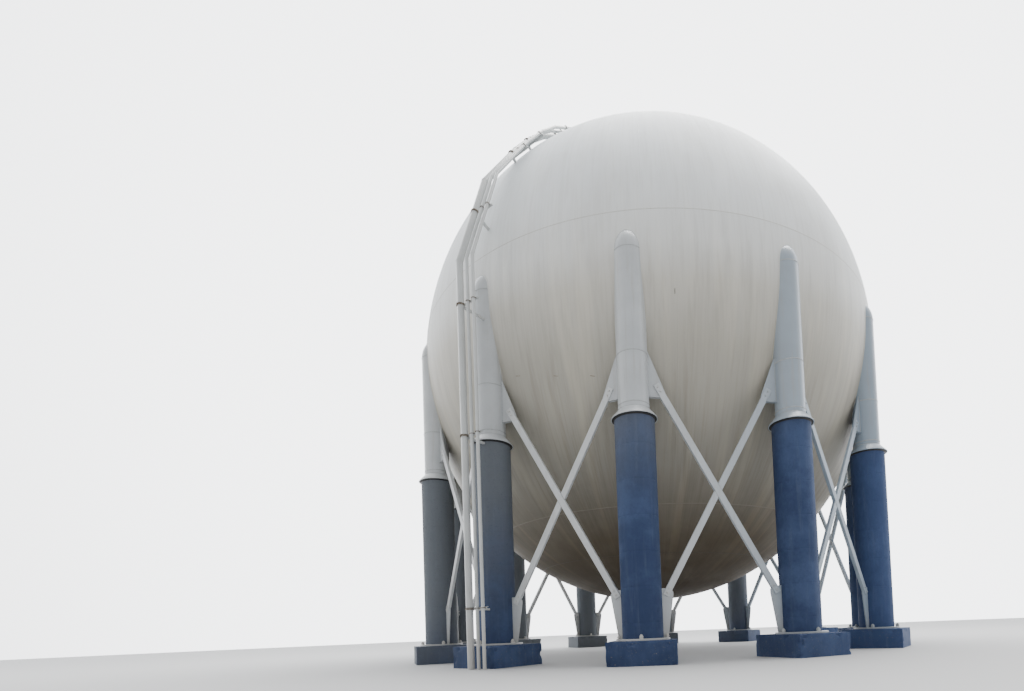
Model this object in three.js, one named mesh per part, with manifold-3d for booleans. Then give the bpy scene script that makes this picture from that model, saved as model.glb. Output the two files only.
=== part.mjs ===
// Spherical pressure tank for liquefied gas: a welded steel ball carried at its equator by twelve
// braced columns, each cased in concrete below and standing on a square pedestal.
// Millimetres, +Z up. The origin is on the floor under the centre of the ball, and column 01 stands
// towards -Y. The columns are numbered anticlockwise as seen from above.
import * as THREE from 'three';
import { mergeVertices } from 'three/addons/utils/BufferGeometryUtils.js';
import Module from 'manifold-3d';

// Driving dimensions.
const GAP = 0.3;
const SHELL_RADIUS = 6500;
const SHELL_WALL = 40;
const SHELL_SIDES = 48;
const SEAM_CROWN = 52.5;
const SEAM_UPPER = 6.5;
const SEAM_LOWER = -45;
const COLUMN_COUNT = 12;
const COLUMN_CIRCLE = 6320;
const PEDESTAL_SIDE = 1300;
const PEDESTAL_HEIGHT = 450;
const PEDESTAL_CHAMFER = 25;
const CENTRE_ABOVE_PEDESTAL = 7620;

const PIPE_RADIUS = 305;
const CASING_RADIUS = 395;
const CASING_HEIGHT = 4290;
const ROUND_SIDES = 20;
const BASE_PLATE_RADIUS = 520;
const BASE_PLATE_THICK = 36;

const CAP_RIM_BELOW_CENTRE = 70;
const CAP_RISE = 480;
const CAP_STEPS = 5;
const SKIRT_RADIUS = 458;
const SKIRT_RISE = 180;
const SKIRT_OVERLAP = 22;
const SKIRT_THICK = 18;

const GUSSET_THICK = 28;
const UPPER_GUSSET_TOP = 1980;
const UPPER_GUSSET_BOTTOM = 2880;
const UPPER_GUSSET_REACH = 635;
const UPPER_GUSSET_EDGE = 103;
const UPPER_GUSSET_CUT = 60;
const UPPER_GUSSET_TIP = 12;
const SHELF_REACH = 520;
const FLANGE_WIDTH = 90;
const FLANGE_THICK = 18;
const LOWER_GUSSET_HEIGHT = 950;
const LOWER_GUSSET_REACH = 630;
const LOWER_GUSSET_FOOT = 500;
const LOWER_GUSSET_EDGE = 140;
const GUSSET_ROOT = 150;
const GUSSET_ROOT_DEPTH = 1;

const BRACE_WIDTH = 130;
const BRACE_DEPTHS = [80, 68];
const BRACE_TOP_OFFSET = 458;
const BRACE_TOP_BELOW_CENTRE = 2628;
const BRACE_FOOT_OFFSET = 475;
const BRACE_FOOT_HEIGHT = 805;
const BRACE_CLEARANCE = 10;

// Each bend of the risers is a latitude and a distance off the ball.
const RISER_ANGLE = THREE.MathUtils.degToRad(-28.5);
const RISER_STAND = 7165;
const RISER_RADIUS = 70;
const RISER_SIDES = 12;
const RISER_BEND_ABOVE_CENTRE = 165;
const RISER_BENDS = [[20.1, 350], [34.7, 150], [41.8, 155], [47.7, 165], [58, 155], [70, 150]];
const RISER_OVER_CROWN = 150;
const RISER_END = 900;
const RISER_END_DEPTH = 500;
const SMALL_RADIUS = 34;
const SMALL_OFFSETS = [222, 390];
const SMALL_SIDES = 8;
const SMALL_END_STEP = 190;
const BRACKET_SIZE = 50;
const BRACKET_OVERHANG = 35;
const BRACKET_ARM = 800;
const BRACKET_HEIGHTS = [1200, 4660, 7340];
const BRACKET_LATITUDES = [12.4, 32.7, 40.3, 52, 64];

const NOZZLE_RADIUS = 260;
const NOZZLE_FLANGE = 370;
const NOZZLE_FLANGE_THICK = 95;
const NOZZLE_HEIGHT = 330;

const CENTRE_Z = PEDESTAL_HEIGHT + CENTRE_ABOVE_PEDESTAL;
const PLATE_TOP = PEDESTAL_HEIGHT + GAP + BASE_PLATE_THICK;
const CASING_TOP = PEDESTAL_HEIGHT + CASING_HEIGHT;
const COLUMN_STEP = (2 * Math.PI) / COLUMN_COUNT;
const HALF_STEP = COLUMN_STEP / 2;
const MERGE_WITHIN = 0.001;

const wasm = await Module();
wasm.setup();

function toSolid(geometry) {
  const bare = geometry.clone();
  bare.deleteAttribute('normal');
  bare.deleteAttribute('uv');
  const merged = mergeVertices(bare, MERGE_WITHIN);
  return new wasm.Manifold(new wasm.Mesh({
    numProp: 3,
    vertProperties: new Float32Array(merged.attributes.position.array),
    triVerts: new Uint32Array(merged.index.array),
  }));
}

function toGeometry(solid) {
  const mesh = solid.getMesh();
  const geometry = new THREE.BufferGeometry();
  geometry.setAttribute('position', new THREE.BufferAttribute(new Float32Array(mesh.vertProperties), 3));
  geometry.setIndex(new THREE.BufferAttribute(new Uint32Array(mesh.triVerts), 1));
  return geometry;
}

function join(...geometries) {
  return geometries.map(toSolid).reduce((sum, solid) => sum.add(solid));
}

// The largest body of a solid, without the slivers that a cut can leave.
function mainBody(solid) {
  return solid.decompose().reduce((best, body) => (body.volume() > best.volume() ? body : best));
}

function radians(degrees) {
  return THREE.MathUtils.degToRad(degrees);
}

// Turns a profile of (radius, height) points about the Z axis. The first side starts at -Y.
function turned(profile, sides) {
  const points = profile.map(([radius, height]) => new THREE.Vector2(radius, height));
  return new THREE.LatheGeometry(points, sides).rotateX(Math.PI / 2);
}

function closed(profile) {
  return [...profile, profile[0]];
}

function upright(radius, bottom, top, sides) {
  return turned([[0, bottom], [radius, bottom], [radius, top], [0, top]], sides);
}

// Points on a circle about the ball's centre, from one latitude to another.
function latitudeArc(radius, from, to, steps) {
  return Array.from({ length: steps + 1 }, (_, i) => {
    const angle = radians(THREE.MathUtils.lerp(from, to, i / steps));
    return [radius * Math.max(Math.cos(angle), 0), CENTRE_Z + radius * Math.sin(angle)];
  });
}

const OUTER_STEP = 7.5;
const INNER_STEP = 15;

function stepCount(from, to, step) {
  return Math.round((to - from) / step);
}

// One course of the ball's wall, between two latitudes. A course that reaches a pole is a dished end.
function shellCourse(from, to) {
  const halfGap = THREE.MathUtils.radToDeg(GAP / 2 / SHELL_RADIUS);
  const low = from === -90 ? from : from + halfGap;
  const high = to === 90 ? to : to - halfGap;
  const outer = latitudeArc(SHELL_RADIUS, low, high, stepCount(from, to, OUTER_STEP));
  const inner = latitudeArc(SHELL_RADIUS - SHELL_WALL, high, low, stepCount(from, to, INNER_STEP));
  if (to === 90) {
    return turned([...inner, ...outer], SHELL_SIDES);
  }
  if (from === -90) {
    return turned([...outer, ...inner], SHELL_SIDES);
  }
  return turned(closed([...outer, ...inner]), SHELL_SIDES);
}

// The ball as a full solid, a little larger, with the same facets as the courses. It cuts what is
// seated on the ball.
function ballCutter() {
  const seams = [-90, SEAM_LOWER, SEAM_UPPER, SEAM_CROWN, 90];
  const arcs = seams.slice(1).map((to, i) => latitudeArc(
    SHELL_RADIUS + GAP,
    seams[i],
    to,
    stepCount(seams[i], to, OUTER_STEP),
  ));
  return toSolid(turned([arcs[0][0], ...arcs.flatMap((arc) => arc.slice(1))], SHELL_SIDES));
}

// A plate with its outline in the vertical plane of a brace. The outline's first number runs
// outwards from the column's axis, and side is 1 towards the next column and -1 towards the last.
function bracePlate(outline, thick, side) {
  const shape = new THREE.Shape(outline.map(([out, height]) => new THREE.Vector2(out, height)));
  const plate = new THREE.ExtrudeGeometry(shape, { depth: thick, bevelEnabled: false });
  plate.translate(0, 0, -thick / 2);
  plate.rotateX(Math.PI / 2);
  plate.rotateZ(side > 0 ? HALF_STEP : Math.PI - HALF_STEP);
  plate.translate(0, -COLUMN_CIRCLE, 0);
  return plate;
}

function upperGussetOutline(grow) {
  const top = CENTRE_Z - UPPER_GUSSET_TOP + grow;
  const bottom = CENTRE_Z - UPPER_GUSSET_BOTTOM - grow;
  return [
    [GUSSET_ROOT, bottom],
    [UPPER_GUSSET_REACH - UPPER_GUSSET_CUT + grow, bottom],
    [UPPER_GUSSET_REACH + grow, bottom + UPPER_GUSSET_EDGE],
    [PIPE_RADIUS + UPPER_GUSSET_TIP + grow, top],
    [GUSSET_ROOT, top],
  ];
}

function lowerGussetOutline(grow) {
  const top = PLATE_TOP + LOWER_GUSSET_HEIGHT + grow;
  return [
    [GUSSET_ROOT, PLATE_TOP - GUSSET_ROOT_DEPTH],
    [LOWER_GUSSET_FOOT + grow, PLATE_TOP - GUSSET_ROOT_DEPTH],
    [LOWER_GUSSET_REACH + grow, top - LOWER_GUSSET_EDGE],
    [LOWER_GUSSET_REACH + grow, top - LOWER_GUSSET_EDGE / 2],
    [LOWER_GUSSET_REACH - LOWER_GUSSET_EDGE / 2, top],
    [GUSSET_ROOT, top],
  ];
}

// The narrow shelf under an upper gusset.
function gussetShelf(side, grow) {
  const bottom = CENTRE_Z - UPPER_GUSSET_BOTTOM - FLANGE_THICK / 2 - grow;
  const outline = [
    [GUSSET_ROOT, bottom],
    [SHELF_REACH + grow, bottom],
    [SHELF_REACH + grow, bottom + FLANGE_THICK + 2 * grow],
    [GUSSET_ROOT, bottom + FLANGE_THICK + 2 * grow],
  ];
  return bracePlate(outline, FLANGE_WIDTH + 2 * grow, side);
}

function gussets(grow) {
  const thick = GUSSET_THICK + 2 * grow;
  return [1, -1].flatMap((side) => [
    bracePlate(upperGussetOutline(grow), thick, side),
    bracePlate(lowerGussetOutline(grow), thick, side),
    gussetShelf(side, grow),
  ]);
}

// A steel column: base plate, pipe, wing gussets, rain skirt, and a round cap that meets the ball.
function columnSolid(ball) {
  const rooted = PLATE_TOP - BASE_PLATE_THICK / 2;
  const skirtTop = CASING_TOP + SKIRT_RISE - SKIRT_OVERLAP;
  const cap = Array.from({ length: CAP_STEPS + 1 }, (_, i) => {
    const angle = (Math.PI / 2) * (i / CAP_STEPS);
    const height = CENTRE_Z - CAP_RIM_BELOW_CENTRE + CAP_RISE * Math.sin(angle);
    return [PIPE_RADIUS * Math.cos(angle), height];
  });
  const pipe = turned([
    [0, rooted],
    [PIPE_RADIUS, rooted],
    [PIPE_RADIUS, skirtTop - SKIRT_THICK],
    [SKIRT_RADIUS - SKIRT_THICK, CASING_TOP - SKIRT_OVERLAP],
    [SKIRT_RADIUS, CASING_TOP - SKIRT_OVERLAP],
    [PIPE_RADIUS, skirtTop],
    ...cap,
  ], ROUND_SIDES).translate(0, -COLUMN_CIRCLE, 0);
  const plate = upright(BASE_PLATE_RADIUS, PLATE_TOP - BASE_PLATE_THICK, PLATE_TOP, ROUND_SIDES);
  plate.translate(0, -COLUMN_CIRCLE, 0);
  return mainBody(join(pipe, plate, ...gussets(0)).subtract(ball));
}

// The concrete casing round the lower pipe, slotted where the lower gussets pass through.
function casingSolid() {
  const bore = PIPE_RADIUS + GAP;
  const bottom = PLATE_TOP + GAP;
  const sleeve = turned(closed([
    [bore, bottom],
    [CASING_RADIUS, bottom],
    [CASING_RADIUS, CASING_TOP],
    [bore, CASING_TOP],
  ]), ROUND_SIDES).translate(0, -COLUMN_CIRCLE, 0);
  const slots = [1, -1].map((side) => toSolid(
    bracePlate(lowerGussetOutline(GAP), GUSSET_THICK + 2 * GAP, side),
  ));
  return slots.reduce((solid, slot) => solid.subtract(slot), toSolid(sleeve));
}

// A straight rectangular bar between two points of a bay's plane, which faces -Y.
function bayBar(from, to, depth) {
  const start = new THREE.Vector3(from[0], 0, from[1]);
  const run = new THREE.Vector3(to[0], 0, to[1]).sub(start);
  const bar = new THREE.BoxGeometry(BRACE_WIDTH, depth, run.length());
  bar.rotateY(Math.atan2(run.x, run.z));
  const middle = start.addScaledVector(run, 1 / 2);
  return bar.translate(middle.x, -COLUMN_CIRCLE * Math.cos(HALF_STEP), middle.z);
}

// Crossed braces of one bay, welded where they meet. Each slotted end straddles a gusset.
function braceSolid() {
  const half = COLUMN_CIRCLE * Math.sin(HALF_STEP);
  const top = CENTRE_Z - BRACE_TOP_BELOW_CENTRE;
  const foot = PLATE_TOP + BRACE_FOOT_HEIGHT;
  const bars = [1, -1].map((side, i) => bayBar(
    [side * (BRACE_TOP_OFFSET - half), top],
    [side * (half - BRACE_FOOT_OFFSET), foot],
    BRACE_DEPTHS[i],
  ));
  const rounds = [[CASING_RADIUS, CASING_TOP], [PIPE_RADIUS, CENTRE_Z]];
  const neighbours = [HALF_STEP, -HALF_STEP].flatMap(
    (turn) => [
      ...gussets(GAP),
      ...rounds.map(([radius, height]) => upright(radius + BRACE_CLEARANCE, 0, height, ROUND_SIDES)
        .translate(0, -COLUMN_CIRCLE, 0)),
    ].map((geometry) => toSolid(geometry.rotateZ(turn))),
  );
  return mainBody(neighbours.reduce((solid, other) => solid.subtract(other), join(...bars)));
}

// A round pipe through points of one upright plane, x outwards and y up, mitred at each bend.
function mitredPipe(points, radius, sides) {
  const last = points.length - 1;
  const pipe = new THREE.CylinderGeometry(radius, radius, 1, sides, last);
  const place = pipe.attributes.position;
  const route = points.map(([out, height]) => new THREE.Vector2(out, height));
  for (let i = 0; i < place.count; i += 1) {
    const at = Math.round((1 / 2 - place.getY(i)) * last);
    const before = route[Math.max(at, 1)].clone().sub(route[Math.max(at, 1) - 1]).normalize();
    const next = Math.min(at, last - 1);
    const after = route[next + 1].clone().sub(route[next]).normalize();
    const along = before.clone().add(after).normalize();
    const across = place.getZ(i) / along.dot(before);
    place.setXYZ(
      i,
      -place.getX(i),
      -(route[at].x + along.y * across),
      route[at].y - along.x * across,
    );
  }
  return pipe;
}

// A riser's route: straight up from the floor, then in short straights along a meridian, and down
// to the crown.
function riserRoute(end) {
  const bends = RISER_BENDS.map(([latitude, off]) => [
    (SHELL_RADIUS + off) * Math.cos(radians(latitude)),
    CENTRE_Z + (SHELL_RADIUS + off) * Math.sin(radians(latitude)),
  ]);
  const crown = CENTRE_Z + SHELL_RADIUS;
  return [
    [RISER_STAND, 0],
    [RISER_STAND, CENTRE_Z + RISER_BEND_ABOVE_CENTRE],
    ...bends,
    [end, crown + RISER_OVER_CROWN],
    [end, crown - RISER_END_DEPTH],
  ];
}

// Where the riser's route crosses a latitude, and its slope there.
function routeAt(route, latitude) {
  const ray = new THREE.Vector2(Math.cos(radians(latitude)), Math.sin(radians(latitude)));
  for (let i = 2; i < route.length; i += 1) {
    const from = new THREE.Vector2(route[i - 1][0], route[i - 1][1] - CENTRE_Z);
    const to = new THREE.Vector2(route[i][0], route[i][1] - CENTRE_Z);
    const before = from.cross(ray);
    const after = to.cross(ray);
    if (before >= 0 && after <= 0) {
      const point = from.clone().lerp(to, before / (before - after));
      return { out: point.x, up: point.y + CENTRE_Z, tilt: Math.atan2(to.y - from.y, from.x - to.x) };
    }
  }
  return null;
}

// A bracket: a bar behind the three risers, with an arm towards what carries it.
function bracket() {
  const left = -RISER_RADIUS - BRACKET_OVERHANG;
  const right = SMALL_OFFSETS[1] + SMALL_RADIUS + BRACKET_OVERHANG;
  const near = SMALL_RADIUS + GAP;
  const bar = new THREE.BoxGeometry(right - left, BRACKET_SIZE, BRACKET_SIZE);
  bar.translate((left + right) / 2, near + BRACKET_SIZE / 2, 0);
  const arm = new THREE.BoxGeometry(BRACKET_SIZE, BRACKET_ARM - near, BRACKET_SIZE);
  arm.translate(0, (near + BRACKET_ARM) / 2, 0);
  return toGeometry(join(bar, arm));
}

// The main riser with the brackets that are welded to it.
function mainRiserSolid(route, others) {
  const low = BRACKET_HEIGHTS.map((height) => bracket().translate(0, -RISER_STAND, height));
  const high = BRACKET_LATITUDES.map((latitude) => {
    const spot = routeAt(route, latitude);
    return bracket().rotateX(spot.tilt - Math.PI / 2).translate(0, -spot.out, spot.up);
  });
  const whole = join(mitredPipe(route, RISER_RADIUS, RISER_SIDES), ...low, ...high);
  return mainBody(others.reduce((solid, other) => solid.subtract(other), whole));
}

const WHITE_PAINT = { color: 0xc6cacb, roughness: 0.55, metalness: 0.1 };
const SHELL_PAINT = { color: 0xc3c8ca, roughness: 0.5, metalness: 0.1 };
const BLUE_PAINT = { color: 0x3f5470, roughness: 0.75, metalness: 0 };
const NUMBER_WIDTH = 2;

const tank = new THREE.Group();
tank.name = 'spherical_gas_tank';

function addPiece(name, geometry, look, turn) {
  const mesh = new THREE.Mesh(geometry, new THREE.MeshStandardMaterial(look));
  mesh.name = name;
  mesh.rotation.z = turn;
  tank.add(mesh);
}

function numbered(name, index) {
  return `${name}_${String(index + 1).padStart(NUMBER_WIDTH, '0')}`;
}

const ball = ballCutter();
const column = columnSolid(ball);
const casing = casingSolid();
const braces = braceSolid();

addPiece('crown_end', shellCourse(SEAM_CROWN, 90), SHELL_PAINT, 0);
addPiece('upper_shell_course', shellCourse(SEAM_UPPER, SEAM_CROWN), SHELL_PAINT, 0);
addPiece('lower_shell_course', shellCourse(SEAM_LOWER, SEAM_UPPER), SHELL_PAINT, 0);
addPiece('bottom_end', shellCourse(-90, SEAM_LOWER), SHELL_PAINT, 0);

for (let i = 0; i < COLUMN_COUNT; i += 1) {
  const turn = i * COLUMN_STEP;
  const chamferFrom = PEDESTAL_SIDE / 2 - PEDESTAL_CHAMFER;
  const square = new THREE.Shape([[-1, -1], [1, -1], [1, 1], [-1, 1]].map(
    ([x, y]) => new THREE.Vector2(x * chamferFrom, y * chamferFrom - COLUMN_CIRCLE),
  ));
  const block = new THREE.ExtrudeGeometry(square, {
    depth: PEDESTAL_HEIGHT - 2 * PEDESTAL_CHAMFER,
    bevelEnabled: true,
    bevelThickness: PEDESTAL_CHAMFER,
    bevelSize: PEDESTAL_CHAMFER,
    bevelSegments: 1,
  });
  block.translate(0, 0, PEDESTAL_CHAMFER);
  addPiece(numbered('pedestal', i), block, BLUE_PAINT, turn);
  addPiece(numbered('column', i), toGeometry(column), WHITE_PAINT, turn);
  addPiece(numbered('fireproof_casing', i), toGeometry(casing), BLUE_PAINT, turn);
  addPiece(numbered('cross_brace', i), toGeometry(braces), WHITE_PAINT, turn + HALF_STEP);
}

// The risers are made in the frame of their own meridian, so what they are cut by turns into it.
const columnTurn = -COLUMN_STEP - RISER_ANGLE;

function columnRound(radius, top) {
  const round = upright(radius + GAP, 0, top, ROUND_SIDES).translate(0, -COLUMN_CIRCLE, 0);
  return toSolid(round.rotateZ(columnTurn));
}

const ballThere = toSolid(toGeometry(ball).rotateZ(-RISER_ANGLE));
const riser = mainRiserSolid(riserRoute(RISER_END), [
  ballThere,
  columnRound(PIPE_RADIUS, CENTRE_Z),
  columnRound(CASING_RADIUS, CASING_TOP),
]);
addPiece('main_riser', toGeometry(riser), WHITE_PAINT, RISER_ANGLE);
['inner_small_riser', 'outer_small_riser'].forEach((name, i) => {
  const route = riserRoute(RISER_END + SMALL_END_STEP * (i + 1));
  const pipe = mitredPipe(route, SMALL_RADIUS, SMALL_SIDES).translate(SMALL_OFFSETS[i], 0, 0);
  addPiece(name, toGeometry(toSolid(pipe).subtract(ballThere)), WHITE_PAINT, RISER_ANGLE);
});

const nozzleTop = CENTRE_Z + SHELL_RADIUS + NOZZLE_HEIGHT;
const nozzle = turned([
  [0, CENTRE_Z + SHELL_RADIUS - NOZZLE_HEIGHT],
  [NOZZLE_RADIUS, CENTRE_Z + SHELL_RADIUS - NOZZLE_HEIGHT],
  [NOZZLE_RADIUS, nozzleTop - NOZZLE_FLANGE_THICK],
  [NOZZLE_FLANGE, nozzleTop - NOZZLE_FLANGE_THICK],
  [NOZZLE_FLANGE, nozzleTop],
  [0, nozzleTop],
], ROUND_SIDES);
addPiece('crown_manway', toGeometry(toSolid(nozzle).subtract(ball)), WHITE_PAINT, 0);

export default tank;
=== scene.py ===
"""Looks of a spherical gas tank: a white welded ball on twelve braced columns cased in blue concrete.
Metres, +Z up, with the origin on the floor under the ball's centre. Column 01 stands towards -Y."""
import math
import random

import bmesh
import bpy
from mathutils import Matrix, Vector, noise


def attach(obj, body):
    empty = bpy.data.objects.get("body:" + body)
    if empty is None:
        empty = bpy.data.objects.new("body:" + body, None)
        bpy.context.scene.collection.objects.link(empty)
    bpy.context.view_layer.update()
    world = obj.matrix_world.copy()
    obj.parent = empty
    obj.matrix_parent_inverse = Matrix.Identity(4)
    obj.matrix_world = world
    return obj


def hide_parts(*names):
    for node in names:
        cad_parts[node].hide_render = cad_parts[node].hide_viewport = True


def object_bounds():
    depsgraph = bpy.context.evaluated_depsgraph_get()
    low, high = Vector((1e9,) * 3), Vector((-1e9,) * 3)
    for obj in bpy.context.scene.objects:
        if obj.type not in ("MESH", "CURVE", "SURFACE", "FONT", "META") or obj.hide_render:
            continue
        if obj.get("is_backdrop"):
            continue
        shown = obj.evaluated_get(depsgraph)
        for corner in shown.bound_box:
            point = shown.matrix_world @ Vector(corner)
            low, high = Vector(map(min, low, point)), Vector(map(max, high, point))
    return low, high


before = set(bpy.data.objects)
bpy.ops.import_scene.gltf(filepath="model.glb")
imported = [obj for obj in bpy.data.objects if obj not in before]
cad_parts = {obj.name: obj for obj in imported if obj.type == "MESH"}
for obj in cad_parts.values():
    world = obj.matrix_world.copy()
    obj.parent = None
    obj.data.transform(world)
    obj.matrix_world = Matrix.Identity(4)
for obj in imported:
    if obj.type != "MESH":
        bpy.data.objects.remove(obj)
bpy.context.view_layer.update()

random.seed(7)

# Driving sizes, shared with the solids.
SHELL_RADIUS = 6.5
CENTRE_Z = 8.07
CENTRE = Vector((0, 0, CENTRE_Z))
COLUMN_COUNT = 12
COLUMN_CIRCLE = 6.32
COLUMN_STEP = 2 * math.pi / COLUMN_COUNT
HALF_STEP = COLUMN_STEP / 2
PEDESTAL_SIDE = 1.3
PEDESTAL_TOP = 0.45
PIECE_GAP = 0.0003
PLATE_TOP = 0.4863
PLATE_RADIUS = 0.52
PIPE_RADIUS = 0.305
CASING_RADIUS = 0.395
CASING_TOP = 4.74
BRACE_WIDTH = 0.13
BRACE_DEPTHS = (0.08, 0.068)
RISER_ANGLE = math.radians(-28.5)
RISER_STAND = 7.165
RISER_RADIUS = 0.07
SMALL_RADIUS = 0.034
SMALL_OFFSETS = (0.222, 0.39)

# Each column's index, label and turn from column 01.
COLUMNS = [(index, f"{index + 1:02d}", index * COLUMN_STEP) for index in range(COLUMN_COUNT)]


class Look:
    """A material with short names for the nodes that it is built from."""

    def __init__(self, name):
        self.material = bpy.data.materials.new(name)
        self.material.use_nodes = True
        self.tree = self.material.node_tree
        self.shader = self.tree.nodes["Principled BSDF"]
        self.place = self.node("ShaderNodeNewGeometry").outputs["Position"]

    def node(self, kind, **values):
        made = self.tree.nodes.new(kind)
        for key, value in values.items():
            setattr(made, key, value)
        return made

    def wire(self, source, target):
        """Links an output to a socket, or sets the socket to a plain value."""
        if hasattr(source, "is_output"):
            self.tree.links.new(source, target)
        else:
            target.default_value = source

    def math(self, operation, first, second=0.0):
        made = self.node("ShaderNodeMath", operation=operation)
        self.wire(first, made.inputs[0])
        self.wire(second, made.inputs[1])
        return made.outputs[0]

    def scale(self, value, factor, base):
        """value times factor, plus base."""
        return self.math("ADD", self.math("MULTIPLY", value, factor), base)

    def vector(self, operation, first, second, output="Vector"):
        made = self.node("ShaderNodeVectorMath", operation=operation)
        self.wire(first, made.inputs[0])
        self.wire(second, made.inputs[1])
        return made.outputs[output]

    def split(self, vector):
        made = self.node("ShaderNodeSeparateXYZ")
        self.wire(vector, made.inputs[0])
        return made.outputs

    def join(self, x, y, z):
        made = self.node("ShaderNodeCombineXYZ")
        for socket, value in zip(made.inputs, (x, y, z)):
            self.wire(value, socket)
        return made.outputs[0]

    def noise(self, scale, detail, rough, vector=None):
        made = self.node("ShaderNodeTexNoise")
        self.wire(self.place if vector is None else vector, made.inputs["Vector"])
        for key, value in (("Scale", scale), ("Detail", detail), ("Roughness", rough)):
            made.inputs[key].default_value = value
        return made.outputs["Fac"]

    def band(self, value, low, high):
        """0 below low, 1 above high, and smooth between them."""
        made = self.node("ShaderNodeMapRange", interpolation_type="SMOOTHSTEP")
        for socket, entry in zip(made.inputs, (value, low, high, 0.0, 1.0)):
            self.wire(entry, socket)
        return made.outputs[0]

    def ramp(self, value, stops):
        made = self.node("ShaderNodeValToRGB")
        self.wire(value, made.inputs[0])
        entries = made.color_ramp.elements
        while len(entries) < len(stops):
            entries.new(0.5)
        for entry, (at, colour) in zip(entries, stops):
            entry.position = at
            entry.color = (*colour, 1)
        return made.outputs[0]

    def mix(self, amount, first, second, blend="MIX"):
        made = self.node("ShaderNodeMix", data_type="RGBA", blend_type=blend)
        colours = [socket for socket in made.inputs if socket.type == "RGBA"]
        self.wire(amount, made.inputs["Factor"])
        for socket, colour in zip(colours, (first, second)):
            self.wire((*colour, 1) if isinstance(colour, tuple) else colour, socket)
        return [socket for socket in made.outputs if socket.type == "RGBA"][0]

    def layer(self, under, colour, value, low, high, amount, blend="MIX"):
        """Lays a colour on another where value passes from low to high, as strongly as amount."""
        return self.mix(self.math("MULTIPLY", self.band(value, low, high), amount), under, colour,
                        blend)

    def bump(self, height, distance, strength, under=None):
        made = self.node("ShaderNodeBump")
        made.inputs["Strength"].default_value = strength
        made.inputs["Distance"].default_value = distance
        self.wire(height, made.inputs["Height"])
        if under is not None:
            self.wire(under, made.inputs["Normal"])
        return made.outputs[0]

    def finish(self, colour, roughness, normal=None, specular=0.4):
        self.wire(colour, self.shader.inputs["Base Color"])
        self.wire(roughness, self.shader.inputs["Roughness"])
        self.shader.inputs["Specular IOR Level"].default_value = specular
        if normal is not None:
            self.wire(normal, self.shader.inputs["Normal"])
        return self.material


def shaded(colour, factor):
    """A colour times a number, or times a tint."""
    tint = factor if isinstance(factor, tuple) else (factor,) * 3
    return tuple(c * k for c, k in zip(colour, tint))


# The shell's paint and its weld beads from the ball's lowest point, 0, to its top, 1: darker towards
# the bottom, partly grime and partly painted shade, and lighter and bluish towards the top, a painted
# sky light.
SHELL_TONES = (
    (0.0, (0.062, 0.044, 0.026)), (0.10, (0.132, 0.110, 0.079)), (0.20, (0.275, 0.259, 0.222)),
    (0.36, (0.390, 0.373, 0.325)), (0.45, (0.53, 0.515, 0.465)), (0.51, (0.68, 0.685, 0.665)),
    (0.60, (0.74, 0.765, 0.77)), (0.76, (0.77, 0.815, 0.84)), (1.0, (0.82, 0.87, 0.90)))
BEAD_TONES = (
    (0.0, (0.06, 0.05, 0.036)), (0.09, (0.095, 0.08, 0.058)), (0.15, (0.24, 0.215, 0.175)),
    (0.36, (0.42, 0.40, 0.35)), (0.50, (0.52, 0.51, 0.47)), (0.66, (0.61, 0.62, 0.61)),
    (1.0, (0.70, 0.73, 0.74)))

# What the weather leaves on the shell. The two tints multiply the paint under them.
SOOT = (0.13, 0.11, 0.085)
RAIN_TINT = (0.72, 0.70, 0.66)
WASHED_TINT = (1.36, 1.33, 1.26)
SHELL_DUST = (0.36, 0.33, 0.28)
SHELL_SPECKS = (0.23, 0.16, 0.10)
# Nearer to the ball's axis than this, the streaks fade into one another.
POLE_REACH = 0.05


def shell_paint():
    """White paint, cleaner above, with rain streaks down the meridians; its underside is darkened by
    grime and painted shade, and its top is lighter and bluish with painted sky light.
    """
    look = Look("shell_paint")
    x, y, z = look.split(look.vector("SUBTRACT", look.place, tuple(CENTRE)))
    reach = look.math("MAXIMUM", look.math("SQRT", look.math(
        "ADD", look.math("MULTIPLY", x, x), look.math("MULTIPLY", y, y))), POLE_REACH)
    lift = look.math("DIVIDE", z, SHELL_RADIUS)
    around = (look.math("DIVIDE", x, reach), look.math("DIVIDE", y, reach))

    def streaks(scale, detail, rough, along):
        """Noise drawn out down the meridians. The smaller along is, the longer the streaks are."""
        return look.noise(scale, detail, rough,
                          look.join(*around, look.math("MULTIPLY", lift, along)))

    fine = streaks(120.0, 3.0, 0.55, 0.05)
    thin = streaks(36.0, 5.0, 0.62, 0.10)
    beam = streaks(17.0, 3.0, 0.5, 0.12)
    broad = streaks(7.0, 4.0, 0.55, 0.35)
    patch = look.noise(0.5, 4.0, 0.6)
    speck = look.noise(7.0, 6.0, 0.7)
    wander = look.math("MULTIPLY", look.math("SUBTRACT", broad, 0.5), 0.30)
    grime = look.band(look.math("ADD", lift, wander), 0.35, -0.75)
    # The ramp darkens the underside, partly grime and partly painted shade, and makes the top lighter
    # and bluish as painted sky light.
    paint_with_painted_shade = look.ramp(look.scale(lift, 0.5, 0.5), SHELL_TONES)
    sooty = look.layer(paint_with_painted_shade, SOOT, thin, 0.50, 0.68, look.scale(grime, 0.16, 0.05))
    rained = look.layer(sooty, RAIN_TINT, fine, 0.46, 0.62, look.scale(grime, 0.10, 0.14),
                        "MULTIPLY")
    washed = look.layer(rained, WASHED_TINT, beam, 0.46, 0.70, look.scale(grime, 0.50, 0.08),
                        "MULTIPLY")
    dusty = look.layer(washed, SHELL_DUST, patch, 0.42, 0.72, 0.15)
    dotted = look.layer(dusty, SHELL_SPECKS, speck, 0.70, 0.78, 0.22)
    wave = look.noise(0.9, 3.0, 0.5)
    peel = look.noise(55.0, 3.0, 0.5)
    normal = look.bump(peel, 0.002, 0.25, look.bump(wave, 0.03, 0.35))
    return look.finish(dotted, look.scale(thin, 0.2, 0.42), normal, specular=0.16)


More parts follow.
